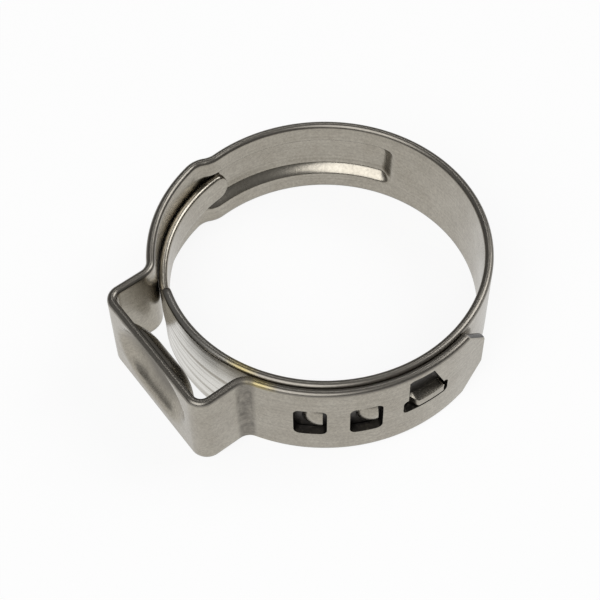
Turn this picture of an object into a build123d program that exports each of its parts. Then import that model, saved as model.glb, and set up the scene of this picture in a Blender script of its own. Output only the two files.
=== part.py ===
from build123d import *
from math import acos, atan2, cos, degrees, radians, sin, sqrt, tan
import os

# Ear hose clamp: one stainless strip, 7 mm wide, wound into a ring that overlaps itself.
# Millimetres. The bore runs along Z, its lower edge lies on Z = 0, and the ear points along +X.
# Angles are counted from +X, counter-clockwise seen from above.

# the strip and the bore it is wound round
bore_diameter = 22.8
band_width = 7.0
strip_thickness = 0.65
layer_gap = 0.05
edge_break = 0.15

# the ear: a squared arch, squeezed to close the clamp
ear_inside_width = 10.75
ear_inside_height = 2.45
ear_lean = 2.8
ear_inner_corner_radius = 0.6
ear_foot_radius = 1.0
dimple_length = 6.9
dimple_height = 4.9
dimple_depth = 1.6

# the inner end: a shoulder under the ear, then a narrow tongue that bridges it
shoulder_angle = -19.6
shoulder_corner_radius = 0.8
tongue_width = 2.5
tongue_tip_angle = -85.9
tongue_tip_radius = 0.9

# the step outward that makes room for the tongue, and the channel the tongue slides in
joggle_angle = -82.9
joggle_radius = 1.8
tongue_clearance = 0.25
channel_wall_run = 0.4
channel_corner_radius = 0.5
channel_end_angle = -152.3

# the outer end: it leaves the ring straight and has cut corners
tail_angle = 101.4
tail_length = 2.5
end_chamfer = 1.9

# two windows near the ear, each over a pocket hook
first_window_angle = 54.1
window_pitch_angle = 17.55
window_length = 2.33
window_height = 2.85
window_corner_radius = 0.45
hook_clearance = 0.3
hook_side_clearance = 0.2
hook_length = 1.35
hook_rise = 0.6

# the bell-shaped opening near the outer end, and the lip that stands in its slot
bell_angle = 86.9
bell_slot_length = 3.73
bell_slot_height = 1.4
bell_slot_corner = 0.35
bell_top_height = 2.25
bell_foot_left = 1.5
bell_foot_right = 1.47
bell_top_right = 0.45
lip_length = 2.85
lip_shift = 0.25
lip_height = 0.8
lip_ramp = 0.5
lip_clearance = 0.06
lip_proud = 0.05
lip_pocket_depth = 0.5
lip_pocket_wall = 0.45
lip_skirt = 0.25

# how far cutters run past a face, how far the tongue is rooted in the strip (degrees),
# and a hair's breadth that keeps two faces from coinciding
overrun = 1.0
tongue_root_angle = 8.0
hair = 0.001

# derived sizes
half_thickness = strip_thickness / 2
mid_height = band_width / 2
bore_radius = bore_diameter / 2
inner_face = bore_radius + strip_thickness
outer_bore = inner_face + layer_gap
outer_face = outer_bore + strip_thickness
between_layers = inner_face + layer_gap / 2
mid_inner = bore_radius + half_thickness
mid_outer = outer_bore + half_thickness
wall_outside = inner_face + ear_inside_height + strip_thickness
wall_mid = wall_outside - half_thickness
leg_offset = (ear_inside_width + strip_thickness) / 2
hook_width = window_height - 2 * hook_side_clearance
channel_floor = tongue_width + 2 * tongue_clearance
channel_opening = channel_floor + 2 * channel_wall_run
wall_slope = channel_wall_run / (outer_bore - bore_radius)


def polar(radius, angle):
    return Vector(radius * cos(radians(angle)), radius * sin(radians(angle)))


def bearing(point, centre=Vector(0, 0)):
    return degrees(atan2(point.Y - centre.Y, point.X - centre.X))


def bend(centre, radius, start, sweep):
    """A bend of the strip's middle line, as (outside edge, inside edge) of the strip."""
    side = 1 if sweep > 0 else -1

    def arc(r):
        points = [centre + polar(r, start + sweep * part) for part in (0, 0.5, 1)]
        return Edge.make_three_point_arc(*points)

    return arc(radius + side * half_thickness), arc(radius - side * half_thickness)


def straight(start, end):
    """A straight of the strip's middle line, as (outside edge, inside edge)."""
    along = (end - start).normalized()
    outward = Vector(along.Y, -along.X) * half_thickness
    outside = Edge.make_line(start + outward, end + outward)
    return outside, Edge.make_line(start - outward, end - outward)


def joggle_span():
    """Angle taken by the two equal bends that step the strip from layer to layer."""
    low = mid_inner + joggle_radius
    high = mid_outer - joggle_radius
    return degrees(acos((low**2 + high**2 - 4 * joggle_radius**2) / (2 * low * high)))


def joggle(start, span):
    low = polar(mid_inner + joggle_radius, start)
    high = polar(mid_outer - joggle_radius, start + span)
    first = bearing(high, low) - (start + 180)
    first = (first + 180) % 360 - 180
    second = (start + span) - bearing(low, high)
    second = (second + 180) % 360 - 180
    rise = bend(low, joggle_radius, start + 180, first)
    return [rise, bend(high, joggle_radius, start + span - second, second)]


def ear_points():
    """Bend centres and tangent points of the leaning ear, for both of its legs."""
    lean = Vector(cos(radians(ear_lean)), sin(radians(ear_lean)))
    across = Vector(-lean.Y, lean.X)
    foot_radius = ear_foot_radius + half_thickness
    corner_radius = ear_inner_corner_radius + half_thickness
    legs = []
    for side in (-1, 1):
        root = Vector(sqrt(mid_outer**2 - leg_offset**2), side * leg_offset)
        start = root + across * (side * foot_radius)
        reach = start.dot(lean)
        spare = (mid_outer + foot_radius) ** 2 - start.dot(start)
        foot = start + lean * (sqrt(reach**2 + spare) - reach)
        start = root - across * (side * corner_radius)
        climb = (wall_mid - corner_radius - start.X) / lean.X
        corner = start + lean * climb
        leg = (foot - across * (side * foot_radius), corner + across * (side * corner_radius))
        legs.append((foot, corner, leg))
    return legs, foot_radius, corner_radius


def ear():
    """Edges of the ear from its left foot round to its right foot."""
    (left, right), foot_radius, corner_radius = ear_points()
    left_foot, left_corner, left_leg = left
    right_foot, right_corner, right_leg = right
    turn_in = bearing(left_leg[0], left_foot) - bearing(Vector(0, 0), left_foot)
    turn_in = (turn_in + 180) % 360 - 180
    turn_out = bearing(Vector(0, 0), right_foot) - bearing(right_leg[0], right_foot)
    turn_out = (turn_out + 180) % 360 - 180
    left_top = Vector(wall_mid, left_corner.Y)
    right_top = Vector(wall_mid, right_corner.Y)
    lower = bearing(left_leg[1], left_corner)
    upper = bearing(right_leg[1], right_corner)
    edges = [
        bend(left_foot, foot_radius, bearing(Vector(0, 0), left_foot), turn_in),
        straight(*left_leg),
        bend(left_corner, corner_radius, lower, -lower),
        straight(left_top, right_top),
        bend(right_corner, corner_radius, 0, upper),
        straight(right_leg[1], right_leg[0]),
        bend(right_foot, foot_radius, bearing(right_leg[0], right_foot), turn_out),
    ]
    return edges, bearing(left_foot), bearing(right_foot)


def ring_arcs(radius, start, end, parts=1):
    step = (end - start) / parts
    return [bend(Vector(0, 0), radius, start + step * n, step) for n in range(parts)]


def band():
    """The wound strip from its shoulder to its outer end, full width all the way."""
    ear_edges, left_foot, right_foot = ear()
    rise_start = joggle_angle + 360
    rise_end = rise_start + joggle_span()
    pairs = ring_arcs(mid_inner, shoulder_angle, rise_start, 2)
    pairs += joggle(rise_start, joggle_span())
    pairs += ring_arcs(mid_outer, rise_end, left_foot + 360)
    pairs += ear_edges
    pairs += ring_arcs(mid_outer, right_foot, tail_angle)
    pairs += [straight(polar(mid_outer, tail_angle), outer_end())]
    outside = [pair[0] for pair in pairs]
    inside = [pair[1] for pair in pairs]
    caps = [Edge.make_line(outside[0] @ 0, inside[0] @ 0)]
    caps += [Edge.make_line(outside[-1] @ 1, inside[-1] @ 1)]
    strip = extrude(Face(Wire(outside + inside + caps)), band_width)
    strip = shape_ends(strip)
    rims = [edge for edge in strip.edges() if on_rim(edge)]
    return chamfer(rims, edge_break)


def shape_ends(strip):
    """Round the shoulder's corners and cut those of the outer end."""
    strip = fillet(end_corners(strip, polar(mid_inner, shoulder_angle)), shoulder_corner_radius)
    return chamfer(end_corners(strip, outer_end()), end_chamfer)


def outer_end():
    """End of the middle line: the straight tail past the ring."""
    return polar(mid_outer, tail_angle) + polar(tail_length, tail_angle + 90)


def end_corners(strip, place):
    """Short edges across the strip's thickness where its middle line ends."""
    return [edge for edge in strip.edges() if is_end_edge(edge) and near(edge, place)]


def near(edge, place):
    middle = edge.center()
    return (Vector(middle.X, middle.Y) - place).length < half_thickness


def is_end_edge(edge):
    flat = abs((edge @ 0).Z - (edge @ 1).Z) < 1e-6
    return flat and abs(edge.length - strip_thickness) < 1e-4


def on_rim(edge):
    heights = [(edge @ part).Z for part in (0, 0.5, 1)]
    low = max(heights) < 1e-6
    high = min(heights) > band_width - 1e-6
    return (low or high) and not is_end_edge(edge)


def face_plane(radius, angle):
    """Plane facing outward at a point of the ring: x counter-clockwise, y up."""
    place = polar(radius, angle)
    origin = (place.X, place.Y, mid_height)
    tangent = (-sin(radians(angle)), cos(radians(angle)), 0)
    outward = (cos(radians(angle)), sin(radians(angle)), 0)
    return Plane(origin=origin, x_dir=tangent, z_dir=outward)


def sector(inner, outer, low, high, start, end):
    """Block of ring between two radii, two heights and two angles."""
    shape = Plane.XZ * Pos((inner + outer) / 2, (low + high) / 2)
    section = shape * Rectangle(outer - inner, high - low)
    return Rot(0, 0, start) * revolve(section, Axis.Z, end - start)


def block(section, low, high):
    """Flat outline drawn in (distance from the axis, sideways), raised between two heights."""
    return Pos(0, 0, low) * extrude(make_face(Polyline(*section, close=True)), high - low)


def channel_width(radius, spread):
    """Half the channel's width at a radius; spread is what its outer skin adds."""
    return channel_opening / 2 - (radius - bore_radius) * wall_slope + spread


def channel_run(bottom, roof, spread):
    """Long ring-shaped part of the channel, open at the joggle."""
    low = channel_width(bottom, spread)
    high = channel_width(roof, spread)
    points = [(bottom, -low), (roof, -high), (roof, high), (bottom, low)]
    section = Plane.XZ * Pos(0, mid_height) * make_face(Polyline(*points, close=True))
    end = joggle_angle + joggle_span()
    start = channel_end_angle + degrees(channel_opening / bore_radius) / 2
    return Rot(0, 0, start) * revolve(section, Axis.Z, end - start)


def channel_end(bottom, roof, spread):
    """Closed end of the channel, its walls sloped like the long ones."""
    middle = channel_end_angle + degrees(channel_opening / bore_radius) / 2
    plates = []
    for radius in (bottom, roof):
        half = channel_width(radius, spread)
        corner = half - channel_width(roof, spread) + channel_corner_radius + spread / 2
        outline = RectangleRounded(2 * half, 2 * half, corner)
        plates.append(face_plane(radius, middle) * outline)
    return loft(plates) & Pos(0, 0, mid_height) * Cylinder(roof - hair, 3 * band_width)


def press_channel(strip):
    """Press the tongue's channel outward: skin added outside, room cut inside."""
    spread = strip_thickness * sqrt(1 + wall_slope**2)
    strip += channel_run(mid_inner, outer_face, spread)
    strip += channel_end(mid_inner, outer_face, spread)
    inside = bore_radius - overrun / 2
    strip -= channel_run(inside, outer_bore, 0)
    return strip - channel_end(inside, outer_bore, 0)


def through_outer_layer(outline, angle):
    """Cutter through the outer layer only, from an outline drawn on its face."""
    depth = 2 * strip_thickness + layer_gap + overrun
    punch = extrude(face_plane(outer_face + overrun, angle) * outline, -depth)
    return punch - Pos(0, 0, mid_height) * Cylinder(between_layers, 2 * band_width)


def bell_outline():
    outline = RectangleRounded(bell_slot_length, bell_slot_height, bell_slot_corner)
    top = bell_slot_height / 2 + bell_top_height
    points = [(-bell_foot_left, 0), (bell_foot_right, 0)]
    points += [(bell_top_right, top), (-bell_foot_left, top)]
    return outline + make_face(Polyline(*points, close=True))


def window_edges():
    """Angle of the edge each hook pulls against, for the two windows."""
    return [first_window_angle, first_window_angle + window_pitch_angle]


def cut_windows(strip):
    outline = RectangleRounded(window_length, window_height, window_corner_radius)
    for edge_angle in window_edges():
        middle = edge_angle - degrees(window_length / outer_face) / 2
        strip -= through_outer_layer(outline, middle)
    return strip - through_outer_layer(bell_outline(), bell_angle)


def raise_hook(strip, edge_angle):
    """Pocket hook: a dome pressed out of the inner layer and sheared on its loaded side."""
    load_angle = edge_angle - degrees(hook_clearance / outer_face)
    plan = (hook_length + (hook_width / 2) ** 2 / hook_length) / 2
    middle = load_angle - degrees((hook_length - plan) / inner_face)
    ball = (plan**2 + hook_rise**2) / (2 * hook_rise)
    place = polar(inner_face + hook_rise - ball, middle)
    centre = Pos(place.X, place.Y, mid_height)
    back = load_angle - degrees(2 * hook_length / inner_face)
    room = sector(mid_inner, outer_face + overrun, 0, band_width, back, load_angle)
    under = sector(bore_radius - overrun, outer_face, 0, band_width, back, load_angle)
    strip += centre * Sphere(ball) & room
    return strip - (centre * Sphere(ball - strip_thickness) & under)


def raise_lip(strip):
    """Lip lanced from the inner layer: it fills the lower half of the bell's slot."""
    low = mid_height - bell_slot_height / 2 + lip_clearance
    half = lip_length / 2
    middle = bell_angle + degrees(lip_shift / outer_face)
    section = [(mid_inner, -half), (outer_face + overrun, lip_ramp - half)]
    section += [(outer_face + overrun, half), (mid_inner, half)]
    lip = Rot(0, 0, middle) * block(section, low, low + lip_height)
    lip &= Pos(0, 0, mid_height) * Cylinder(outer_face + lip_proud, 2 * band_width)
    hollow = half - lip_pocket_wall
    roof = bore_radius + lip_pocket_depth
    section = [(bore_radius - overrun, -hollow), (roof, -hollow)]
    section += [(roof, hollow), (bore_radius - overrun, hollow)]
    under = Rot(0, 0, middle) * block(section, low + lip_skirt, low + lip_height)
    return strip + lip - under


def capsule(radius, centre_x, centre_y, half):
    """Round-ended bar lying across the ear's outer wall."""
    bar = Rot(90, 0, 0) * Cylinder(radius, 2 * half)
    bar += Pos(0, half, 0) * Sphere(radius)
    bar += Pos(0, -half, 0) * Sphere(radius)
    return Pos(centre_x, centre_y, mid_height) * bar


def dent_ear(strip):
    """Stiffening dimple pressed into the ear's outer wall."""
    radius = ((dimple_height / 2) ** 2 + dimple_depth**2) / (2 * dimple_depth)
    centre_x = wall_outside + radius - dimple_depth
    root_x = sqrt(mid_outer**2 - leg_offset**2)
    centre_y = (wall_mid - root_x) * tan(radians(ear_lean))
    half = (dimple_length - dimple_height) / 2
    depth = dimple_depth + strip_thickness
    height = band_width - 2 * edge_break
    room = Pos(wall_mid - depth / 2, centre_y, mid_height) * Box(depth, ear_inside_width, height)
    strip += capsule(radius + strip_thickness, centre_x, centre_y, half) & room
    return strip - capsule(radius, centre_x, centre_y, half)


def add_tongue(strip):
    """Narrow tongue that carries the bore's face on past the shoulder, under the ear."""
    low = mid_height - tongue_width / 2
    high = mid_height + tongue_width / 2
    root = shoulder_angle + tongue_root_angle
    tongue = sector(bore_radius, inner_face, low, high, tongue_tip_angle, root)
    corners = end_corners(tongue, polar(mid_inner, tongue_tip_angle))
    return strip + fillet(corners, tongue_tip_radius)


clamp_band = cut_windows(band())
for hook_edge in window_edges():
    clamp_band = raise_hook(clamp_band, hook_edge)
clamp_band = raise_lip(clamp_band)
clamp_band = press_channel(clamp_band)
clamp_band = dent_ear(clamp_band)
clamp_band = add_tongue(clamp_band)

os.makedirs("parts", exist_ok=True)
export_step(clamp_band, "parts/clamp_band.step")
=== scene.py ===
"""Ear hose clamp: the wound steel strip, its finish, and a plain stage."""

import bmesh
import bpy
import numpy as np
from mathutils import Matrix, Vector


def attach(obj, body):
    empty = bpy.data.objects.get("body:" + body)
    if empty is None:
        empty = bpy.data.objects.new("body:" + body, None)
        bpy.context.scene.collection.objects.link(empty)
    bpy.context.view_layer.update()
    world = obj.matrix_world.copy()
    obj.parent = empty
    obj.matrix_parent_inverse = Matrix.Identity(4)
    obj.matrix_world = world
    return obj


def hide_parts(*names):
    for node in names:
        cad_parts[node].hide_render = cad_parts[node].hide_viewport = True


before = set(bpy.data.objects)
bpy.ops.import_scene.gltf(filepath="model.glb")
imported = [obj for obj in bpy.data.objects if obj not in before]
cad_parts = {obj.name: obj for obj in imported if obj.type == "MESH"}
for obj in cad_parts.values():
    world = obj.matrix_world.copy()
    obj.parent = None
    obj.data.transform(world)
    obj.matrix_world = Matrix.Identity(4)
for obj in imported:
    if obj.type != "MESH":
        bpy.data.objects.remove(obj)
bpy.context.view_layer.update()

bl_info = {
    "name": "Ear Hose Clamp",
    "version": (1, 0, 0),
    "blender": (4, 5, 0),
    "location": "View3D > Sidebar > Clamp",
    "description": "Builds a one-piece ear hose clamp from its strip sizes",
    "category": "Add Mesh",
}

MM = 0.001

# How finely the strip's mesh follows its forms.
ROWS = 41
RIM_POINTS = 5
COARSE = 0.36 * MM
FINE = 0.06 * MM
TIP_ZONE = 0.9 * MM
SMALLEST_COLUMN = 0.012 * MM
SMALLEST_ROW = 0.0035 * MM
SHEAR = 0.004 * MM
TOUCH = 0.001 * MM
DECIMALS = 8

# How finely the cutters follow theirs, how close points are welded, and the widest angle
# between faces that is still shaded smooth.
CORNER_POINTS = 10
FLAT_POINTS = 9
END_HEIGHT = 0.001 * MM
WELD = 0.0001 * MM
SMOOTH = np.radians(32)

# The camera: a square picture's side, the focal length, and how far the ring's middle lies
# right of and above the picture's middle, all in pixels. Then its bearing, height, roll and
# distance from the ring's middle, and the sensor's width in millimetres.
PICTURE = 600
FOCAL = 1462.6
MIDDLE_RIGHT = 24.4
MIDDLE_UP = 26.0
VIEW_AZIMUTH = np.radians(53.22)
VIEW_ELEVATION = np.radians(52.99)
VIEW_ROLL = np.radians(0.09)
VIEW_DISTANCE = 107.13 * MM
SENSOR = 36.0

# Soft lamps: bearing from the camera and height in degrees, distance and size in metres,
# and power in watts.
LAMPS = {
    "key": (-28, 50, 0.9, 0.85, 6.0),
    "fill": (115, 45, 0.9, 0.5, 3.0),
    "back": (180, 55, 0.9, 0.16, 0.25),
}

# The floor's side in metres, how white it is, and how strong the room's light is.
FLOOR_SIZE = 6.0
FLOOR_WHITE = 0.88
ROOM = 0.2


def length(name, description, default):
    """A length property, entered in millimetres and kept in metres."""
    return bpy.props.FloatProperty(
        name=name, description=description, default=default * MM,
        min=0.0, precision=5, unit="LENGTH", subtype="DISTANCE",
    )


def angle(name, description, default):
    """An angle property, entered in degrees and kept in radians."""
    return bpy.props.FloatProperty(
        name=name, description=description, default=np.radians(default),
        precision=4, unit="ROTATION", subtype="ANGLE",
    )


def colour(name, description, default):
    """A colour property, as an sRGB hex value."""
    return bpy.props.StringProperty(name=name, description=description, default=default)


class ClampStrip(bpy.types.PropertyGroup):
    """Sizes of the strip and of the ring it is wound into."""

    bore: length("Bore", "Diameter inside the ring", 22.8)
    width: length("Width", "Width of the strip", 7.0)
    thickness: length("Thickness", "Thickness of the strip", 0.65)
    gap: length("Layer gap", "Space between the two layers", 0.05)
    rim: length("Rim radius", "Rounding of the rolled strip edges", 0.3)
    shoulder: angle("Shoulder", "Where the full width ends under the ear", -19.6)
    tongue_tip: angle("Tongue tip", "Where the tongue ends", -85.9)
    tongue_width: length("Tongue width", "Width of the tongue", 2.5)
    tongue_tip_radius: length("Tongue tip radius", "Rounding of the tongue's tip", 0.9)
    shoulder_corner: length("Shoulder corner", "Outer corner radius of the shoulder", 0.8)
    shoulder_fillet: length("Shoulder fillet", "Inner corner radius at the tongue", 0.3)
    joggle: angle("Joggle", "Where the ring steps outward", -82.9)
    joggle_radius: length("Joggle radius", "Middle radius of its two bends", 1.8)
    tail: angle("Tail", "Where the outer end runs straight", 101.4)
    tail_length: length("Tail length", "Length of the straight outer end", 2.5)
    chamfer: length("End chamfer", "Cut corners of the outer end", 1.9)


class ClampEar(bpy.types.PropertyGroup):
    """Sizes of the ear and of the dimple in its wall."""

    inside_width: length("Inside width", "Width between the legs", 10.75)
    inside_height: length("Inside height", "Room between the ring and the wall", 2.45)
    lean: angle("Lean", "Lean of the legs", 2.8)
    corner: length("Corner radius", "Inner radius of the two corners", 0.6)
    foot: length("Foot radius", "Outer radius where a leg meets the ring", 1.0)
    dimple_length: length("Dimple length", "Length of the recess", 8.0)
    dimple_height: length("Dimple height", "Height of the recess", 5.4)
    dimple_depth: length("Dimple depth", "Depth of the recess", 1.25)
    dimple_rise: length("Dimple rise", "How far the recess sits above the middle", 0.4)
    dimple_blend: length("Dimple blend", "Softness of the recess's edge", 0.2)
    dimple_reach: length("Dimple reach", "How far past its edge the softness dies out", 0.65)
    dimple_fade: length("Dimple fade", "Length over which it dies out", 0.6)


class ClampHooks(bpy.types.PropertyGroup):
    """Sizes of the channel, windows, hooks and lip."""

    channel_end: angle("Channel end", "Closed end of the tongue's channel", -152.3)
    channel_opening: length("Channel opening", "Width of the channel at the bore", 3.8)
    channel_foot: length("Channel foot", "Reach of the walls past the opening", 0.15)
    channel_wall: length("Channel wall", "Width over which a wall rises", 0.85)
    channel_lead: length("Channel lead", "Reach of the closed end's foot", 0.6)
    channel_close: length("Channel close", "Length over which the closed end rises", 1.5)
    channel_skin: length("Channel skin", "Extra reach of the channel's outside", 0.38)
    window: angle("First window", "Loaded edge of the first window", 54.1)
    pitch: angle("Window pitch", "Angle from one window to the next", 17.55)
    window_length: length("Window length", "Length round the ring", 2.33)
    window_height: length("Window height", "Height across the strip", 2.85)
    window_corner: length("Window corner", "Corner radius of a window", 0.45)
    hook_length: length("Hook length", "Length of a pocket hook", 1.35)
    hook_width: length("Hook width", "Width of a pocket hook at its sheared face", 2.45)
    hook_rise: length("Hook rise", "Height of a pocket hook", 0.6)
    hook_clearance: length("Hook clearance", "Free space before a hook bears", 0.3)
    bell: angle("Bell", "Middle of the bell-shaped opening", 86.9)
    slot_length: length("Slot length", "Length of the bell's slot", 3.73)
    slot_height: length("Slot height", "Height of the bell's slot", 1.4)
    slot_corner: length("Slot corner", "Corner radius of the slot", 0.35)
    bell_height: length("Bell height", "Height of the bell above its slot", 2.25)
    bell_left: length("Bell left", "Reach of the bell's upright side", 1.5)
    bell_right: length("Bell right", "Reach of the bell's sloping side at its foot", 1.47)
    bell_top: length("Bell top", "Reach of the bell's top on the sloping side", 0.45)
    bell_drop: length("Bell drop", "Fall of the bell's top at the upright side", 0.12)
    lip_length: length("Lip length", "Length of the lip in the slot", 2.85)
    lip_shift: length("Lip shift", "Lip's offset along the slot", 0.25)
    lip_height: length("Lip height", "Height of the lip", 0.8)
    lip_clearance: length("Lip clearance", "Space under the lip", 0.06)
    lip_proud: length("Lip proud", "How far the lip stands out of the overlap", 0.04)
    lip_ramp: length("Lip ramp", "Length of the lip's sloping end", 0.5)
    lip_drop: length("Lip drop", "Length of the lip's steep end", 0.16)
    lip_foot: length("Lip foot", "Height over which the lip's lower side rises", 0.2)
    lip_pocket: length("Lip pocket", "Depth of the hollow behind the lip", 0.5)
    lip_wall: length("Lip wall", "Wall left round that hollow", 0.3)


class ClampFinish(bpy.types.PropertyGroup):
    """Colours of the steel and of the stage."""

    steel: colour("Steel", "Cold-rolled stainless face", "#A49F94")
    stained: colour("Stained steel", "Duller patches of the face", "#999388")
    # The rubbed bend at the ear's right foot; the same dark colour is also the painted shade in the dimple
    # and in the dark steel's mottle.
    rub_and_shade: colour("Rubbed steel", "Rough bend at the ear's foot", "#6C6862")
    # Painted shade: the rims are mixed towards this darker colour for the dim room they reflect.
    rim: colour("Rim steel", "Duller rolled rims", "#6A6763")
    # Painted reflection: this bright colour, between the next two bearings, stands for the white floor
    # mirrored in the face under the ear.
    clean: colour("Clean steel", "Bright drawn face under the ear", "#E0DED8")
    reflection_from: angle("Clean from", "Where the bright face starts", -17)
    reflection_to: angle("Clean to", "Where the bright face ends", 24)
    straw: colour("Straw tint", "Tint left on the rolled rims", "#B9A65E")
    straw_bearing: angle("Straw bearing", "Bearing of the tinted rims", 25)
    # Painted shade: dark colour of the covered face seen through the openings and of their walls, also of
    # the sheared outer end.
    sheared: colour("Sheared steel", "Dark punched walls and covered face", "#4C4A48")
    floor: colour("Floor", "Pale floor", "#F7F7F7")


def linear(hex_colour):
    """sRGB hex to linear RGBA."""
    text = hex_colour.lstrip("#")
    value = np.array([int(text[i:i + 2], 16) for i in (0, 2, 4)]) / 255
    straight = np.where(value <= 0.04045, value / 12.92, ((value + 0.055) / 1.055) ** 2.4)
    return (*straight.tolist(), 1.0)


def ease(value):
    """Smooth step: 3t^2 - 2t^3 with t held between 0 and 1."""
    t = np.clip(value, 0, 1)
    return t * t * (3 - 2 * t)


def turn(start, end):
    """Signed angle from one direction to another, within half a turn."""
    return (end - start + np.pi) % (2 * np.pi) - np.pi


def heading(vector):
    """Direction of a flat vector, as an angle."""
    return np.arctan2(vector[1], vector[0])


class StripPath:
    """Middle line of the strip: a chain of (length, curvature) runs.

    Along a run of curvature k the heading is h0 + k s, so the point is the start plus
    (sin(h) - sin(h0), cos(h0) - cos(h)) / k, or plus s (cos h0, sin h0) where it is straight.
    """

    def __init__(self, strip, ear):
        """Find the two layers' middle radii and lay the line out."""
        self.half = strip.thickness / 2
        self.inner = strip.bore / 2 + self.half
        self.outer = self.inner + strip.thickness + strip.gap
        self.strip = strip
        self.ear = ear
        self.runs = []
        self.marks = {}
        self.total = 0.0
        self.lay_out()

    def add(self, name, run, curvature):
        """Append a run of the given length and curvature, and note where it lies."""
        self.marks[name] = (self.total, self.total + run)
        self.runs.append((self.total, run, curvature))
        self.total += run

    def arc(self, name, radius, sweep):
        """Append an arc: its length is radius times sweep, its curvature one over radius."""
        self.add(name, abs(radius * sweep), np.sign(sweep) / radius)

    def lay_out(self):
        """Ring, step outward, ear, overlap and straight end, in that order.

        The step is two equal arcs, one bent out and one bent back. Their centres lie two radii
        apart, one outside the inner line and one inside the outer line, so the law of cosines
        gives the angle round the ring between them, and the law of sines gives their turn.
        """
        strip = self.strip
        radius = strip.joggle_radius
        low, high = self.inner + radius, self.outer - radius
        span = np.arccos((low**2 + high**2 - 4 * radius**2) / (2 * low * high))
        rise = strip.joggle + 2 * np.pi
        turn_out = np.arcsin(high * np.sin(span) / (2 * radius))
        self.arc("ring", self.inner, rise - strip.tongue_tip)
        self.arc("joggle out", radius, -turn_out)
        self.arc("joggle in", radius, turn_out + span)
        feet = self.ear_runs()
        self.arc("stepped", self.outer, turn(rise + span, feet["left"]))
        for name, run, curvature in feet["runs"]:
            self.add(name, run, curvature)
        self.arc("overlap", self.outer, strip.tail - feet["right"])
        self.add("tail", strip.tail_length, 0.0)

    def ear_runs(self):
        """Tangent bends that join the ring, the leaning legs and the wall.

        A foot's centre is one foot radius outside the ring and one beside its leg. A corner's
        centre is one corner radius inside the wall and one beside its leg.
        """
        ear = self.ear
        lean = np.array([np.cos(ear.lean), np.sin(ear.lean)])
        across = np.array([-lean[1], lean[0]])
        foot_radius = ear.foot + self.half
        corner_radius = ear.corner + self.half
        offset = ear.inside_width / 2 + self.half
        wall = self.strip.bore / 2 + self.strip.thickness + ear.inside_height + self.half
        root_x = np.sqrt(self.outer**2 - offset**2)
        sides = []
        for side in (-1, 1):
            root = np.array([root_x, side * offset])
            start = root + across * side * foot_radius
            reach = start @ lean
            spare = (self.outer + foot_radius) ** 2 - start @ start
            foot = start + lean * (np.sqrt(reach**2 + spare) - reach)
            start = root - across * side * corner_radius
            corner = start + lean * (wall - corner_radius - start[0]) / lean[0]
            leg_low = foot - across * side * foot_radius
            leg_high = corner + across * side * corner_radius
            sides.append((foot, corner, leg_low, leg_high))
        (foot_l, corner_l, low_l, high_l), (foot_r, corner_r, low_r, high_r) = sides
        in_turn = turn(heading(-foot_l), heading(low_l - foot_l))
        out_turn = turn(heading(low_r - foot_r), heading(-foot_r))
        self.dimple_y = (wall - root_x) * np.tan(ear.lean)
        self.wall_start_y = corner_l[1]
        runs = [
            ("left foot", foot_radius * abs(in_turn), -1 / foot_radius),
            ("left leg", np.linalg.norm(high_l - low_l), 0.0),
            ("left corner", corner_radius * (np.pi / 2 - ear.lean), 1 / corner_radius),
            ("wall", corner_r[1] - corner_l[1], 0.0),
            ("right corner", corner_radius * (np.pi / 2 + ear.lean), 1 / corner_radius),
            ("right leg", np.linalg.norm(high_r - low_r), 0.0),
            ("right foot", foot_radius * abs(out_turn), -1 / foot_radius),
        ]
        return {"runs": runs, "left": heading(foot_l), "right": heading(foot_r)}

    def at_angle(self, bearing):
        """Distance along the inner layer to an angle on the ring."""
        return self.inner * (bearing - self.strip.tongue_tip)

    def points(self, along):
        """Middle-line points and outward directions at an array of distances."""
        tip = self.strip.tongue_tip
        x, y, h = self.inner * np.cos(tip), self.inner * np.sin(tip), tip + np.pi / 2
        place = np.zeros((len(along), 2))
        outward = np.zeros((len(along), 2))
        for start, run, k in self.runs:
            here = (along >= start - TOUCH) & (along <= start + run + TOUCH)
            s = along[here] - start
            ends = np.append(s, run)
            if k:
                px = x + (np.sin(h + k * ends) - np.sin(h)) / k
                py = y - (np.cos(h + k * ends) - np.cos(h)) / k
            else:
                px, py = x + ends * np.cos(h), y + ends * np.sin(h)
            place[here] = np.stack([px[:-1], py[:-1]], 1)
            outward[here] = np.stack([np.sin(h + k * s), -np.cos(h + k * s)], 1)
            x, y, h = px[-1], py[-1], h + k * run
        return place, outward


def skin(name, loops, uv=None, shade_marks=None):
    """Closed mesh through a stack of equal loops, each end closed by one face.

    loops[i, j] is point j of loop i; face (i, j) joins it to its neighbours in i and j, and
    takes the second material, painted shade, where all four are marked. With no marks, every face takes it.
    """
    count, around = loops.shape[:2]
    i, j = np.meshgrid(np.arange(count - 1), np.arange(around), indexing="ij")
    k = (j + 1) % around
    quads = np.stack([i * around + j, i * around + k, (i + 1) * around + k, (i + 1) * around + j], -1)
    faces = quads.reshape(-1, 4).tolist()
    faces.append(list(range(around - 1, -1, -1)))
    faces.append(list(range((count - 1) * around, count * around)))
    mesh = bpy.data.meshes.new(name)
    mesh.from_pydata(loops.reshape(-1, 3).tolist(), [], faces)
    marks = np.ones(len(faces), dtype=np.int32)
    if shade_marks is not None:
        both = shade_marks[:-1] & shade_marks[1:]
        marks[:-2] = (both & np.roll(both, -1, axis=1)).ravel()
    mesh.polygons.foreach_set("material_index", marks)
    if uv is not None:
        corner = np.zeros(len(mesh.loops), dtype=np.int64)
        mesh.loops.foreach_get("vertex_index", corner)
        layer = mesh.uv_layers.new(name="strip")
        layer.data.foreach_set("uv", uv.reshape(-1, 2)[corner].ravel())
    mesh.update()
    return mesh


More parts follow.
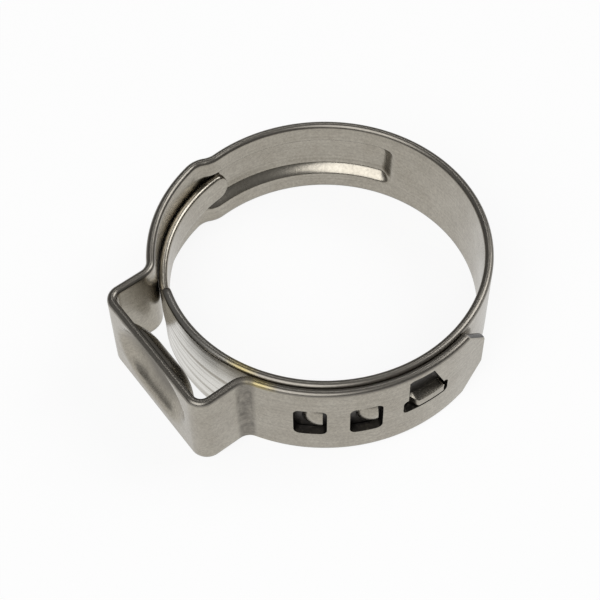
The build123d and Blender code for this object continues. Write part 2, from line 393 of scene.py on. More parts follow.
def stations(total, zones, keep):
    """Distances along the strip: coarse everywhere, finer in each zone, plus exact ones."""
    parts = [np.arange(0, total, COARSE), [total], keep]
    for start, end, step in zones:
        parts.append(np.linspace(start, end, int(np.ceil((end - start) / step)) + 1))
    line = np.unique(np.round(np.concatenate(parts), DECIMALS))
    gaps = np.diff(line, prepend=-1.0)
    fixed = np.isin(line, np.round(keep, DECIMALS))
    return line[(gaps > SMALLEST_COLUMN) | fixed]


class Band:
    """The strip's two faces as functions of distance along it and height across it."""

    def __init__(self, scene):
        """Take the scene's values, and find the radii and the half width."""
        self.strip = scene.clamp_strip
        self.ear = scene.clamp_ear
        self.hooks = scene.clamp_hooks
        self.path = StripPath(self.strip, self.ear)
        self.step = self.strip.thickness + self.strip.gap
        self.middle = self.strip.width / 2
        self.face = self.strip.bore / 2 + self.strip.thickness
        self.outside = self.face + self.step

    def hook_edges(self):
        """Distance along the inner layer to each hook's sheared face."""
        hooks = self.hooks
        clear = hooks.hook_clearance / self.outside
        edges = [hooks.window + n * hooks.pitch - clear for n in (0, 1)]
        return [self.path.at_angle(edge) for edge in edges]

    def channel(self, s, y, spread):
        """Outward press of the tongue's channel: the layer step, eased at walls and end.

        It fades as the whole strip steps outward in the joggle.
        """
        hooks = self.hooks
        across = ease((self.channel_half() + spread - np.abs(y)) / hooks.channel_wall)
        start = self.path.at_angle(hooks.channel_end + 2 * np.pi) - spread - hooks.channel_lead
        along = ease((s - start) / hooks.channel_close)
        place, _ = self.path.points(s[:, 0])
        risen = (np.hypot(place[:, 0], place[:, 1]) - self.path.inner)[:, None]
        ring_end = self.path.marks["joggle in"][1]
        depth = np.where(s < ring_end, self.step - np.clip(risen, 0, self.step), 0)
        return depth * across * along

    def channel_half(self):
        """Half the channel's width at the foot of its walls."""
        return self.hooks.channel_opening / 2 + self.hooks.channel_foot

    def dimple_centre(self):
        """Distance along the strip to the middle of the dimple."""
        return self.path.marks["wall"][0] + self.path.dimple_y - self.path.wall_start_y

    def dimple(self, s, y, spread):
        """Inward press in the ear's wall: a ball rolled along a short middle line.

        spread is the strip's thickness for the inner face, whose ball is larger by as much.
        The depth d is softened to (d + sqrt(d^2 + blend^2)) / 2, and that tail dies out.
        """
        ear = self.ear
        half = (ear.dimple_length - ear.dimple_height) / 2
        along = np.maximum(np.abs(s - self.dimple_centre()) - half, 0)
        reach = ear.dimple_height / 2
        ball = (reach**2 + ear.dimple_depth**2) / (2 * ear.dimple_depth)
        floor = ball - ear.dimple_depth + spread
        up = y - ear.dimple_rise
        room = np.maximum((ball + spread) ** 2 - along**2 - up**2, 0)
        press = np.sqrt(room) - floor
        inside = ease((reach + ear.dimple_reach - np.hypot(along, up)) / ear.dimple_fade)
        return -(press + np.sqrt(press**2 + ear.dimple_blend**2)) / 2 * inside

    def hook(self, s, y, lowered):
        """Height of the pocket hooks: a ball cap cut off at the sheared face.

        lowered is the strip's thickness for the pocket under the hook, else 0.
        """
        hooks = self.hooks
        plan = (hooks.hook_length + (hooks.hook_width / 2) ** 2 / hooks.hook_length) / 2
        ball = (plan**2 + hooks.hook_rise**2) / (2 * hooks.hook_rise)
        total = np.zeros(np.broadcast(s, y).shape)
        for edge in self.hook_edges():
            centre = edge - (hooks.hook_length - plan)
            span = np.maximum((ball - lowered) ** 2 - (s - centre) ** 2 - y**2, 0)
            cap = np.sqrt(span) + hooks.hook_rise + lowered - ball
            total += np.where((s < edge) & (span > 0), np.maximum(cap, 0), 0)
        return total

    def lip(self, s, y, rise, shrink):
        """Flat-topped lip in the bell's slot, ramped at its ends and foot, sheared on top."""
        hooks = self.hooks
        scale = self.path.inner / self.outside
        centre = self.path.at_angle(hooks.bell) + hooks.lip_shift * scale
        half = hooks.lip_length / 2 * scale - shrink
        left = ease((s - centre + half) / hooks.lip_ramp)
        right = ease((centre + half - s) / hooks.lip_drop)
        foot = ease((y - self.lip_low() - shrink) / hooks.lip_foot)
        return rise * left * right * foot * (y < self.lip_top())

    def lip_low(self):
        """Height of the lip's lower side from the strip's middle."""
        return self.hooks.lip_clearance - self.hooks.slot_height / 2

    def lip_top(self):
        """Height of the lip's sheared top from the strip's middle."""
        return self.lip_low() + self.hooks.lip_height

    def half_width(self, s):
        """Half the strip's width: tongue with rounded tip, shoulder, full width, cut end.

        Each rounding of radius r adds or takes r - sqrt(r^2 - t^2), where t runs from 0 to r
        over the length of the rounding.
        """
        strip = self.strip
        narrow, wide = strip.tongue_width / 2, strip.width / 2
        shoulder = self.path.at_angle(strip.shoulder)
        tip, fillet, corner = strip.tongue_tip_radius, strip.shoulder_fillet, strip.shoulder_corner
        nose = np.clip(tip - s, 0, tip)
        width = narrow - tip + np.sqrt(np.maximum(tip**2 - nose**2, 0))
        back = np.clip(s - shoulder + fillet, 0, fillet)
        width = width + fillet - np.sqrt(np.maximum(fillet**2 - back**2, 0))
        round_off = np.clip(corner - (s - shoulder), 0, corner)
        full = wide - corner + np.sqrt(np.maximum(corner**2 - round_off**2, 0))
        width = np.where(s >= shoulder, full, width)
        return np.minimum(width, wide - strip.chamfer + np.maximum(self.path.total - s, 0))

    def rows(self):
        """Heights of the mesh rows from the strip's middle: evenly over the whole face, and
        closer over the channel's walls, the lip's foot and its sheared top."""
        reach = self.middle - self.strip.rim
        wall = self.channel_half() - np.linspace(0.7, 0, 9) * MM
        line = np.concatenate([
            np.linspace(-reach, reach, ROWS), wall, -wall,
            self.lip_low() + np.linspace(0, 0.24, 7) * MM,
            self.lip_top() + np.array([-0.02, -0.002, 0.002]) * MM,
        ])
        line = np.unique(np.round(line, DECIMALS))
        keep = np.append(True, np.diff(line) > SMALLEST_ROW)
        return line[keep]

    def columns(self):
        """Distances of the mesh columns along the strip, closer where forms are pressed.

        A zone is its start, its end and the spacing in it.
        """
        strip = self.strip
        marks = self.path.marks
        at = self.path.at_angle
        shoulder = at(strip.shoulder)
        hooks = self.hook_edges()
        bell = at(self.hooks.bell)
        channel = at(self.hooks.channel_end + 2 * np.pi)
        chamfer = self.path.total - strip.chamfer
        zones = [
            (0, TIP_ZONE, FINE),
            (shoulder - strip.shoulder_fillet, shoulder + strip.shoulder_corner, FINE),
            (bell - 1.6 * MM, bell + 2.1 * MM, 0.1 * MM),
            (channel - 0.6 * MM, channel + 1.2 * MM, 0.08 * MM),
            (*marks["wall"], 0.15 * MM),
            (chamfer, self.path.total, 0.2 * MM),
        ]
        zones += [(edge - 1.6 * MM, edge, 0.08 * MM) for edge in hooks]
        zones += [(*marks[name], 0.07 * MM) for name in ("joggle out", "joggle in")]
        zones += [(*marks[side + part], FINE) for side in ("left", "right") for part in (" foot", " corner")]
        keep = [edge + shift for edge in hooks + [shoulder] for shift in (-SHEAR, SHEAR)]
        return stations(self.path.total, zones, np.array(keep + [chamfer]))

    def loops(self):
        """Closed section loops along the strip: outer face, top rim, inner face, lower rim.

        A point is the middle line's point plus its outward direction times the offset, which
        is half the thickness plus every press. A rim is a quarter circle from each face. The
        seam, where the two parts of the strip meet, lies 1 mm past the joggle.
        """
        strip, hooks = self.strip, self.hooks
        s = self.columns()[:, None]
        rows = self.rows()[None, :]
        reach = self.middle - strip.rim
        width = self.half_width(s)
        y = rows * (width - strip.rim) / reach
        thick, rim = strip.thickness / 2, strip.rim
        outer = thick + self.channel(s, y, hooks.channel_skin) + self.dimple(s, y, 0.0)
        outer = outer + self.hook(s, y, 0.0) + self.lip(s, y, self.step + hooks.lip_proud, 0.0)
        inner = -thick + self.channel(s, y, 0.0) + self.dimple(s, y, strip.thickness)
        inner = inner + self.hook(s, y, strip.thickness) + self.lip(s, y, hooks.lip_pocket, hooks.lip_wall)
        bend = np.linspace(0, np.pi / 2, RIM_POINTS + 1)[None, 1:]
        down = np.broadcast_to(width - rim + rim * np.sin(bend), (len(s), RIM_POINTS))
        level = np.broadcast_to(thick - rim + rim * np.cos(bend), (len(s), RIM_POINTS))
        offset = np.concatenate([outer, level, -level[:, ::-1], inner[:, ::-1], -level, level[:, ::-1]], 1)
        height = np.concatenate([y, down, down[:, ::-1], y[:, ::-1], -down, -down[:, ::-1]], 1)
        place, outward = self.path.points(s[:, 0])
        flat = place[:, None, :] + outward[:, None, :] * offset[:, :, None]
        loops = np.concatenate([flat, (self.middle + height)[:, :, None]], 2)
        uv = np.stack(np.broadcast_arrays(s, height), -1)
        shade_marks = self.shade_marks(s, y, outer, height.shape[1])
        seam = int(np.searchsorted(s[:, 0], self.path.marks["joggle in"][1] + MM))
        return loops[:, ::-1], uv[:, ::-1], shade_marks[:, ::-1], seam

    def shade_marks(self, s, y, outer, around):
        """Points that take painted shade: the covered face that the openings show, hooks and lip
        left out, and the sheared edges at the outer end."""
        hooks = self.hooks
        start = self.path.at_angle(hooks.window - 2 * hooks.window_length / self.outside)
        end = self.path.at_angle(hooks.bell + hooks.slot_length / self.outside)
        covered = (s > start) & (s < end) & (np.abs(y) < self.middle - 0.3 * MM)
        marks = np.zeros((len(s), around), dtype=bool)
        marks[:, :y.shape[1]] = covered & (outer < self.strip.thickness / 2 + 0.1 * MM)
        cut_end = s[:, 0] > self.path.total - self.strip.chamfer
        face, rim = y.shape[1], 2 * RIM_POINTS
        for first in (face, 2 * face + rim):
            marks[cut_end, first + 1:first + rim - 1] = True
        return marks


def ring_cutter(band, name, low, high, line):
    """Cutter round the ring: at each distance along line, measured on the outer face, a section
    from low to high in height, and in radius from the middle of the gap to 1 mm outside."""
    bearing = line / band.outside
    inner, outer = band.face + band.strip.gap / 2, band.outside + MM
    radius = np.array([inner, inner, outer, outer])[None, :]
    height = np.stack([low, high, high, low], 1)
    x = radius * np.cos(bearing)[:, None]
    y = radius * np.sin(bearing)[:, None]
    return skin(name, np.stack([x, y, height], 2))


def rounded_box(half_length, half_height, corner):
    """Half height of a rounded rectangle as a function of distance from its middle: constant,
    and over each corner a quarter circle. Its ends keep a little height, so that the form
    stays closed."""
    bend = np.linspace(0, np.pi / 2, CORNER_POINTS)
    end = half_length - corner + corner * np.sin(bend)
    fall = half_height - corner + corner * np.cos(bend)
    middle = np.linspace(-(half_length - corner), half_length - corner, FLAT_POINTS)[1:-1]
    line = np.concatenate([-end[::-1], middle, end])
    half = np.concatenate([fall[::-1], np.full(len(middle), half_height), fall])
    half[[0, -1]] = np.maximum(half[[0, -1]], END_HEIGHT)
    return line, half


def window_cutters(band):
    """One rounded window over each hook."""
    hooks = band.hooks
    line, half = rounded_box(hooks.window_length / 2, hooks.window_height / 2, hooks.window_corner)
    meshes = []
    for number in (0, 1):
        middle = (hooks.window + number * hooks.pitch) * band.outside - hooks.window_length / 2
        meshes.append(ring_cutter(band, "window", band.middle - half, band.middle + half, middle + line))
    return meshes


def bell_cutters(band):
    """The bell-shaped opening: a rounded slot, and a trapezoid that rises from it."""
    hooks = band.hooks
    centre = hooks.bell * band.outside
    line, half = rounded_box(hooks.slot_length / 2, hooks.slot_height / 2, hooks.slot_corner)
    slot = ring_cutter(band, "slot", band.middle - half, band.middle + half, centre + line)
    line = np.concatenate([
        np.linspace(-hooks.bell_left, hooks.bell_top, FLAT_POINTS),
        np.linspace(hooks.bell_top, hooks.bell_right, FLAT_POINTS)[1:],
    ])
    fall = np.clip((line - hooks.bell_top) / (hooks.bell_right - hooks.bell_top), 0, 1)
    roof = hooks.slot_height / 2 + hooks.bell_height * (1 - fall)
    roof[0] -= hooks.bell_drop
    low = np.full(len(line), band.middle)
    bell = ring_cutter(band, "bell", low, band.middle + roof, centre + line)
    return [slot, bell]


def cut(piece, meshes):
    """Take each cutter's volume out of the piece, and keep the result as its mesh."""
    for mesh in meshes:
        for finish in piece.data.materials:
            mesh.materials.append(finish)
        cutter = bpy.data.objects.new(mesh.name, mesh)
        bpy.context.scene.collection.objects.link(cutter)
        # The cut walls keep the cutter's second material, the painted shade.
        modifier = piece.modifiers.new("cut", "BOOLEAN")
        modifier.operation = "DIFFERENCE"
        modifier.solver = "EXACT"
        modifier.material_mode = "INDEX"
        modifier.object = cutter
        bpy.context.view_layer.update()
        graph = bpy.context.evaluated_depsgraph_get()
        result = bpy.data.meshes.new_from_object(piece.evaluated_get(graph))
        piece.modifiers.clear()
        piece.data = result
        bpy.data.objects.remove(cutter)


def splice(first, second, seam):
    """One closed mesh from two that share a loop: both caps at the seam go, and the loops
    are welded."""
    form = bmesh.new()
    form.from_mesh(first)
    form.from_mesh(second)
    caps = [face for face in form.faces
            if len(face.verts) > ROWS and (face.calc_center_median() - seam).length < MM]
    bmesh.ops.delete(form, geom=caps, context="FACES_ONLY")
    rim = [vertex for vertex in form.verts if vertex.is_boundary]
    bmesh.ops.remove_doubles(form, verts=rim, dist=WELD)
    mesh = bpy.data.meshes.new("wound_band")
    form.to_mesh(mesh)
    form.free()
    return mesh


def node(tree, kind, place, settings=None, links=None):
    """Add a node, set its sockets (by name or number) or attributes, and link its inputs."""
    new = tree.nodes.new(kind)
    new.location = place
    for key, value in (settings or {}).items():
        if isinstance(key, int) or key in new.inputs:
            new.inputs[key].default_value = value
        else:
            setattr(new, key, value)
    for key, source in (links or {}).items():
        tree.links.new(source, new.inputs[key])
    return new


def blank_material(name):
    """A material with an empty node tree."""
    material = bpy.data.materials.new(name)
    material.use_nodes = True
    material.node_tree.nodes.clear()
    return material, material.node_tree


def zone(tree, place, centre, full, none, level, most=1.0):
    """Share by distance from a centre: most at the distance full, 0 at the distance none, and
    straight in between."""
    away = node(tree, "ShaderNodeMath", (-1500, level), {"operation": "SUBTRACT", 1: centre}, {0: place})
    near = node(tree, "ShaderNodeMath", (-1350, level), {"operation": "ABSOLUTE"}, {0: away.outputs[0]})
    share = node(tree, "ShaderNodeMapRange", (-1200, level),
                 {"From Min": none, "From Max": full, "To Max": most}, {"Value": near.outputs[0]})
    return share.outputs["Result"]


def both(tree, first, second, place):
    """Share of what two shares have in common, their product."""
    return node(tree, "ShaderNodeMath", place, {"operation": "MULTIPLY"}, {0: first, 1: second}).outputs[0]


def lengthwise(tree, uv, pitch, reach, detail, level):
    """Streaks along the strip: noise stretched to reach along it and to pitch across it."""
    scaled = node(tree, "ShaderNodeMapping", (-1600, level), {"Scale": (1 / reach, 1 / pitch, 1)},
                  {"Vector": uv})
    streaks = node(tree, "ShaderNodeTexNoise", (-1400, level), {"Scale": 1.0, "Detail": detail},
                   {"Vector": scaled.outputs["Vector"]})
    return streaks.outputs["Fac"]


def rolled_face(tree, finish, spot, lines):
    """Two close greys in soft patches 2 mm across, under rolling lines and fine grains.
    Grains are 0.2 mm across, coarser than real ones so that they show. Gives the colour and
    the patches."""
    mottle = node(tree, "ShaderNodeTexNoise", (-1400, 0),
                  {"Scale": 1 / (2 * MM), "Detail": 6.0, "Roughness": 0.65}, {"Vector": spot})
    patch = node(tree, "ShaderNodeMapRange", (-1200, 0), {"From Min": 0.3, "From Max": 0.7},
                 {"Value": mottle.outputs["Fac"]})
    shade = node(tree, "ShaderNodeMix", (-1000, 100),
                 {"data_type": "RGBA", 6: linear(finish.stained), 7: linear(finish.steel)},
                 {0: patch.outputs["Result"]})
    grain = node(tree, "ShaderNodeTexNoise", (-1400, -600), {"Scale": 1 / (0.2 * MM), "Detail": 2.0},
                 {"Vector": spot})
    speck = node(tree, "ShaderNodeMix", (-1250, 300), {0: 0.6}, {2: lines, 3: grain.outputs["Fac"]})
    bright = node(tree, "ShaderNodeMapRange", (-1100, 300),
                  {"From Min": 0.35, "From Max": 0.65, "To Min": 0.86, "To Max": 1.14},
                  {"Value": speck.outputs[0]})
    lined = node(tree, "ShaderNodeMix", (-800, 100), {"data_type": "RGBA", "blend_type": "MULTIPLY", 0: 1.0},
                 {6: shade.outputs[2], 7: bright.outputs["Result"]})
    return lined.outputs[2], mottle.outputs["Fac"]


def dimple_shade(tree, uv, band):
    """Share of the painted shade in the dimple's recess, an oval: 1 less the distance from its
    middle, measured in its own half length and half height."""
    half_length, half_height, rise = 3.9 * MM, 2.6 * MM, 0.8 * MM
    oval_at = node(tree, "ShaderNodeMapping", (-1600, 1100), {
        "Scale": (1 / half_length, 1 / half_height, 1),
        "Location": (-band.dimple_centre() / half_length, -rise / half_height, 0),
    }, {"Vector": uv})
    oval = node(tree, "ShaderNodeTexGradient", (-1400, 1100), {"gradient_type": "SPHERICAL"},
                {"Vector": oval_at.outputs["Vector"]})
    share = node(tree, "ShaderNodeMapRange", (-1200, 1100),
                 {"From Min": 0.0, "From Max": 0.3, "To Max": 0.85}, {"Value": oval.outputs["Fac"]})
    return share.outputs["Result"]


def foot_wear(tree, along, spot, band):
    """Share of the rough rub across the bend at the ear's right foot, in blotches 0.6 mm
    across."""
    start, end = band.path.marks["right foot"]
    run = end - start
    rub_and_shade = zone(tree, along, (start + end) / 2, 0.4 * run, 0.66 * run, -900)
    blotch = node(tree, "ShaderNodeTexNoise", (-1400, -750),
                  {"Scale": 1 / (0.625 * MM), "Detail": 5.0, "Roughness": 0.8}, {"Vector": spot})
    rough = node(tree, "ShaderNodeMapRange", (-1200, -700),
                 {"From Min": 0.35, "From Max": 0.6, "To Min": 0.35, "To Max": 1.0},
                 {"Value": blotch.outputs["Fac"]})
    return both(tree, rub_and_shade, rough.outputs["Result"], (-1000, -800))


def reflection_under_ear(tree, along, uv, band, finish):
    """Share of the painted reflection of the white floor on the face under the ear, in streaks 0.45 mm
    apart.
    """
    start, end = band.path.at_angle(finish.reflection_from), band.path.at_angle(finish.reflection_to)
    half = (end - start) / 2
    under_ear = zone(tree, along, (start + end) / 2, half - 0.9 * MM, half + 0.6 * MM, 800)
    streaks = lengthwise(tree, uv, 0.4545 * MM, 16.67 * MM, 3.0, 900)
    reflecting = node(tree, "ShaderNodeMapRange", (-1200, 900), {"From Min": 0.34, "From Max": 0.54},
                {"Value": streaks})
    return both(tree, under_ear, reflecting.outputs["Result"], (-1000, 850))


def scratches(tree, uv):
    """Depth of the few slanting scratches, 0.4 mm wide and 5.6 mm long, wider than real ones
    so that they show."""
    scaled = node(tree, "ShaderNodeMapping", (-1600, 600),
                  {"Scale": (1 / (0.4 * MM), 1 / (5.56 * MM), 1), "Rotation": (0, 0, 0.5)}, {"Vector": uv})
    noise = node(tree, "ShaderNodeTexNoise", (-1400, 600), {"Scale": 1.0, "Detail": 2.0},
                 {"Vector": scaled.outputs["Vector"]})
    deep = node(tree, "ShaderNodeMapRange", (-1200, 600), {"From Min": 0.66, "From Max": 0.74},
                {"Value": noise.outputs["Fac"]})
    return deep.outputs["Result"]


def stainless_strip(finish, band):
    """Cold-rolled stainless strip, semi-gloss and slightly warm: faint rolling lines run
    along it, fine grains speckle it, a soft mottle dulls it in patches and a few tumbling
    scratches cross it. The rolled rims are rougher, with painted shade for the dim room they
    reflect, and keep a trace of straw tint beside the ear; the dimple holds painted shade, the
    bend at the ear's foot is rubbed dark, and the face under the ear a painted reflection.

    Rolling lines are 0.2 mm apart, coarser than real ones so that they show.
    """
    material, tree = blank_material("cold_rolled_stainless")
    source = node(tree, "ShaderNodeTexCoord", (-1800, 0))
    uv, spot = source.outputs["UV"], source.outputs["Object"]
    place = node(tree, "ShaderNodeSeparateXYZ", (-1600, -300), None, {0: uv})
    along, across = place.outputs["X"], place.outputs["Y"]
    lines = lengthwise(tree, uv, 0.2 * MM, 16.67 * MM, 4.0, 300)
    colour_now, mottle = rolled_face(tree, finish, spot, lines)
    rim = zone(tree, across, 0.0, band.middle - 0.2 * MM, band.middle - 0.32 * MM, -300)
    # Painted shade: 60% of the darker rim colour on the rolled rims, for the dim room they reflect.
    rolled = node(tree, "ShaderNodeMath", (-1000, -200), {"operation": "MULTIPLY", 1: 0.6}, {0: rim})
    layers = [
        # Painted reflection of the white floor on the face under the ear.
        (reflection_under_ear(tree, along, uv, band, finish), finish.clean),
        (rolled.outputs[0], finish.rim),
    ]
    foot_end = band.path.marks["right foot"][1]
    for number, centre in enumerate((band.path.at_angle(finish.straw_bearing), foot_end + 0.4 * MM)):
        straw = zone(tree, along, centre, 0.3 * MM, 1.4 * MM, -400 - 60 * number, 0.45)
        layers.append((both(tree, rim, straw, (-1000, -400 - 60 * number)), finish.straw))
    worn = foot_wear(tree, along, spot, band)
    cover = node(tree, "ShaderNodeMath", (-800, -700), {"operation": "MULTIPLY", 1: 0.8}, {0: worn})
    # Painted shade in the dimple's recess, then the rubbed bend at the ear's foot.
    layers += [(dimple_shade(tree, uv, band), finish.rub_and_shade), (cover.outputs[0], finish.rub_and_shade)]
    for number, (share, tint) in enumerate(layers):
        layer = node(tree, "ShaderNodeMix", (100 * number - 700, 100),
                     {"data_type": "RGBA", 7: linear(tint)}, {0: share, 6: colour_now})
        colour_now = layer.outputs[2]
    smooth = node(tree, "ShaderNodeMapRange", (-1000, -50), {"To Min": 0.32, "To Max": 0.2},
                  {"Value": mottle})
    edged = node(tree, "ShaderNodeMath", (-800, -200), {"operation": "MULTIPLY_ADD", 1: 0.06},
                 {0: rim, 2: smooth.outputs["Result"]})
    rough = node(tree, "ShaderNodeMath", (-600, -300), {"operation": "MULTIPLY_ADD", 1: 0.25},
                 {0: worn, 2: edged.outputs[0]})
    relief = node(tree, "ShaderNodeMath", (-800, 400), {"operation": "SUBTRACT"},
                  {0: lines, 1: scratches(tree, uv)})
    bump = node(tree, "ShaderNodeBump", (-300, 400), {"Strength": 0.1, "Distance": 0.02 * MM},
                {"Height": relief.outputs[0]})
    steel = node(tree, "ShaderNodeBsdfPrincipled", (0, 0), {"Metallic": 1.0},
                 {"Base Color": colour_now, "Roughness": rough.outputs[0], "Normal": bump.outputs["Normal"]})
    node(tree, "ShaderNodeOutputMaterial", (300, 0), links={"Surface": steel.outputs["BSDF"]})
    return material


def shade_and_sheared_steel(finish):
    """Dark steel for painted shade in the openings and on their walls, and for the sheared outer
    end. Its grains are 0.25 mm across, coarser than real ones so that they show."""
    material, tree = blank_material("shade_and_sheared_stainless")
    spot = node(tree, "ShaderNodeTexCoord", (-800, 0))
    torn = node(tree, "ShaderNodeTexNoise", (-600, 0), {"Scale": 1 / (0.25 * MM), "Detail": 3.0},
                {"Vector": spot.outputs["Object"]})
    level = node(tree, "ShaderNodeMapRange", (-450, -100), {"From Min": 0.5, "From Max": 0.8},
                 {"Value": torn.outputs["Fac"]})
    shade = node(tree, "ShaderNodeMix", (-300, 100),
                 {"data_type": "RGBA", 6: linear(finish.sheared), 7: linear(finish.rub_and_shade)},
                 {0: level.outputs["Result"]})
    steel = node(tree, "ShaderNodeBsdfPrincipled", (0, 0), {"Metallic": 1.0, "Roughness": 0.38},
                 {"Base Color": shade.outputs[2]})
    node(tree, "ShaderNodeOutputMaterial", (300, 0), links={"Surface": steel.outputs["BSDF"]})
    return material


class CLAMP_OT_band(bpy.types.Operator):
    """Build the wound strip with its ear, channel, hooks and openings"""

    bl_idname = "clamp.band"
    bl_label = "Build Band"

    def execute(self, context):
        """Skin the two parts of the strip, cut the openings out of the outer one, join both."""
        scene = context.scene
        band = Band(scene)
        loops, uv, shade_marks, seam = band.loops()
        outer = skin("outer", loops[seam:], uv[seam:], shade_marks[seam:])
        # The second finish paints shade in the openings and on their walls.
        finishes = [stainless_strip(scene.clamp_finish, band), shade_and_sheared_steel(scene.clamp_finish)]
        for finish in finishes:
            outer.materials.append(finish)
        piece = bpy.data.objects.new("wound_band", outer)
        scene.collection.objects.link(piece)
        cut(piece, window_cutters(band) + bell_cutters(band))
        inner = skin("inner", loops[:seam + 1], uv[:seam + 1], shade_marks[:seam + 1])
        piece.data = splice(inner, piece.data, Vector(loops[seam].mean(axis=0)))
        if not piece.data.polygons:
            raise RuntimeError("The strip is empty after its openings were cut.")
        for finish in finishes:
            piece.data.materials.append(finish)
        context.view_layer.objects.active = piece
        piece.select_set(True)
        bpy.ops.object.shade_smooth_by_angle(angle=SMOOTH)
        piece.select_set(False)
        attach(piece, "root")
        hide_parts("clamp_band")
        return {"FINISHED"}


class CLAMP_OT_stage(bpy.types.Operator):
    """Set the floor, world, lights and camera"""

    bl_idname = "clamp.stage"
    bl_label = "Set Stage"

    def execute(self, context):
        """Add each of them, and show colours as they are."""
        scene = context.scene
        lay_floor(scene)
        set_world(scene)
        hang_lights(scene)
        set_camera(scene)
        scene.view_settings.view_transform = "Standard"
        return {"FINISHED"}


def lay_floor(scene):
    """Wide matt floor. To the camera and in the steel it is mostly plain white, and the
    rest of it is lit, so that it keeps the object's shadow."""
    half = FLOOR_SIZE / 2
    corners = [(-half, -half, 0), (half, -half, 0), (half, half, 0), (-half, half, 0)]
    mesh = bpy.data.meshes.new("floor")
    mesh.from_pydata(corners, [], [(0, 1, 2, 3)])
    floor = bpy.data.objects.new("floor", mesh)
    scene.collection.objects.link(floor)
    material, tree = blank_material("matt_paper")
    seen = seen_rays(tree)
    paper = node(tree, "ShaderNodeBsdfPrincipled", (0, 0),
                 {"Base Color": linear(scene.clamp_finish.floor), "Roughness": 0.9})
    white = node(tree, "ShaderNodeEmission", (0, -300), {"Color": (1, 1, 1, 1), "Strength": 1.0})
    share = node(tree, "ShaderNodeMath", (0, 200), {"operation": "MULTIPLY", 1: FLOOR_WHITE}, {0: seen})
    mix = node(tree, "ShaderNodeMixShader", (200, 0), None,
               {0: share.outputs[0], 1: paper.outputs["BSDF"], 2: white.outputs[0]})
    node(tree, "ShaderNodeOutputMaterial", (400, 0), links={"Surface": mix.outputs[0]})
    mesh.materials.append(material)


def seen_rays(tree):
    """1 for camera, mirror and glass rays, else 0."""
    ray = node(tree, "ShaderNodeLightPath", (-600, 300))
    either = node(tree, "ShaderNodeMath", (-400, 300), {"operation": "MAXIMUM"},
                  {0: ray.outputs["Is Camera Ray"], 1: ray.outputs["Is Glossy Ray"]})
    every = node(tree, "ShaderNodeMath", (-200, 300), {"operation": "MAXIMUM"},
                 {0: either.outputs[0], 1: ray.outputs["Is Transmission Ray"]})
    return every.outputs[0]


def set_world(scene):
    """A dim even room, with a white backdrop wherever the camera looks past the floor."""
    world = bpy.data.worlds.new("room")
    world.use_nodes = True
    tree = world.node_tree
    tree.nodes.clear()
    ray = node(tree, "ShaderNodeLightPath", (-400, 200))
    room = node(tree, "ShaderNodeBackground", (-200, 0), {"Color": (1, 1, 1, 1), "Strength": ROOM})
    white = node(tree, "ShaderNodeBackground", (-200, -200), {"Color": (1, 1, 1, 1), "Strength": 1.0})
    mix = node(tree, "ShaderNodeMixShader", (0, 0), None,
               {0: ray.outputs["Is Camera Ray"], 1: room.outputs[0], 2: white.outputs[0]})
    node(tree, "ShaderNodeOutputWorld", (200, 0), links={"Surface": mix.outputs[0]})
    scene.world = world


def view_axes():
    """Right, up and back directions of the camera."""
    flat = np.array([np.cos(VIEW_AZIMUTH), np.sin(VIEW_AZIMUTH), 0])
    back = flat * np.cos(VIEW_ELEVATION) + np.array([0, 0, np.sin(VIEW_ELEVATION)])
    right = np.array([-flat[1], flat[0], 0])
    return right, np.cross(back, right), back


def hang_lights(scene):
    """Place the soft lamps, each turned to the object."""
    for name, (bearing, height, distance, size, power) in LAMPS.items():
        around, rise = VIEW_AZIMUTH + np.radians(bearing), np.radians(height)
        spot = Vector((np.cos(around) * np.cos(rise), np.sin(around) * np.cos(rise), np.sin(rise)))
        data = bpy.data.lights.new(name, "AREA")
        data.size = size
        data.energy = power
        lamp = bpy.data.objects.new(name, data)
        facing = spot.to_track_quat("Z", "Y").to_matrix().to_4x4()
        lamp.matrix_world = Matrix.Translation(spot * distance) @ facing
        scene.collection.objects.link(lamp)


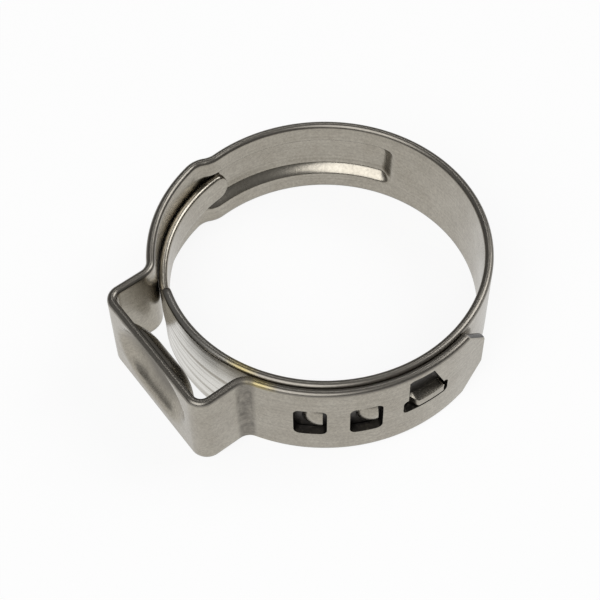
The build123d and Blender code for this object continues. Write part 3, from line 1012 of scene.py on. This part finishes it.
def set_camera(scene):
    """Close camera looking down at the ring, its middle a little right of and above centre.

    The lens is the focal length in pixels, times the sensor's width over the picture's.
    """
    right, up, back = view_axes()
    middle = np.array([0, 0, scene.clamp_strip.width / 2])
    place = middle + back * VIEW_DISTANCE
    aim = middle - (right * MIDDLE_RIGHT + up * MIDDLE_UP) / FOCAL * VIEW_DISTANCE
    away = (place - aim) / np.linalg.norm(place - aim)
    side = np.cross(up, away)
    side /= np.linalg.norm(side)
    turned = np.stack([side, np.cross(away, side), away], 1)
    matrix = (Matrix(turned.tolist()) @ Matrix.Rotation(VIEW_ROLL, 3, "Z")).to_4x4()
    matrix.translation = Vector(place)
    data = bpy.data.cameras.new("camera")
    data.sensor_width = SENSOR
    data.lens = FOCAL / PICTURE * SENSOR
    data.clip_start = 0.01
    data.clip_end = 20
    camera = bpy.data.objects.new("camera", data)
    camera.matrix_world = matrix
    scene.collection.objects.link(camera)
    scene.camera = camera


class CLAMP_PT_panel(bpy.types.Panel):
    """Sizes, finish and build steps of the clamp"""

    bl_label = "Ear Hose Clamp"
    bl_idname = "CLAMP_PT_panel"
    bl_space_type = "VIEW_3D"
    bl_region_type = "UI"
    bl_category = "Clamp"

    def draw(self, context):
        """List each group's values, then the two build steps."""
        scene = context.scene
        for group in (scene.clamp_strip, scene.clamp_ear, scene.clamp_hooks, scene.clamp_finish):
            box = self.layout.box()
            for name in group.__annotations__:
                box.prop(group, name)
        for step in (CLAMP_OT_band, CLAMP_OT_stage):
            self.layout.operator(step.bl_idname)


CLASSES = (
    ClampStrip, ClampEar, ClampHooks, ClampFinish, CLAMP_OT_band, CLAMP_OT_stage, CLAMP_PT_panel,
)
GROUPS = {
    "clamp_strip": ClampStrip, "clamp_ear": ClampEar,
    "clamp_hooks": ClampHooks, "clamp_finish": ClampFinish,
}


def register():
    """Add the classes, and each group of values to the scene."""
    for item in CLASSES:
        bpy.utils.register_class(item)
    for name, group in GROUPS.items():
        setattr(bpy.types.Scene, name, bpy.props.PointerProperty(type=group))


def unregister():
    """Take away what register added."""
    for name in GROUPS:
        delattr(bpy.types.Scene, name)
    for item in reversed(CLASSES):
        bpy.utils.unregister_class(item)


def main():
    """Build the piece and the stage."""
    register()
    bpy.ops.clamp.band()
    bpy.ops.clamp.stage()


if __name__ == "__main__":
    main()
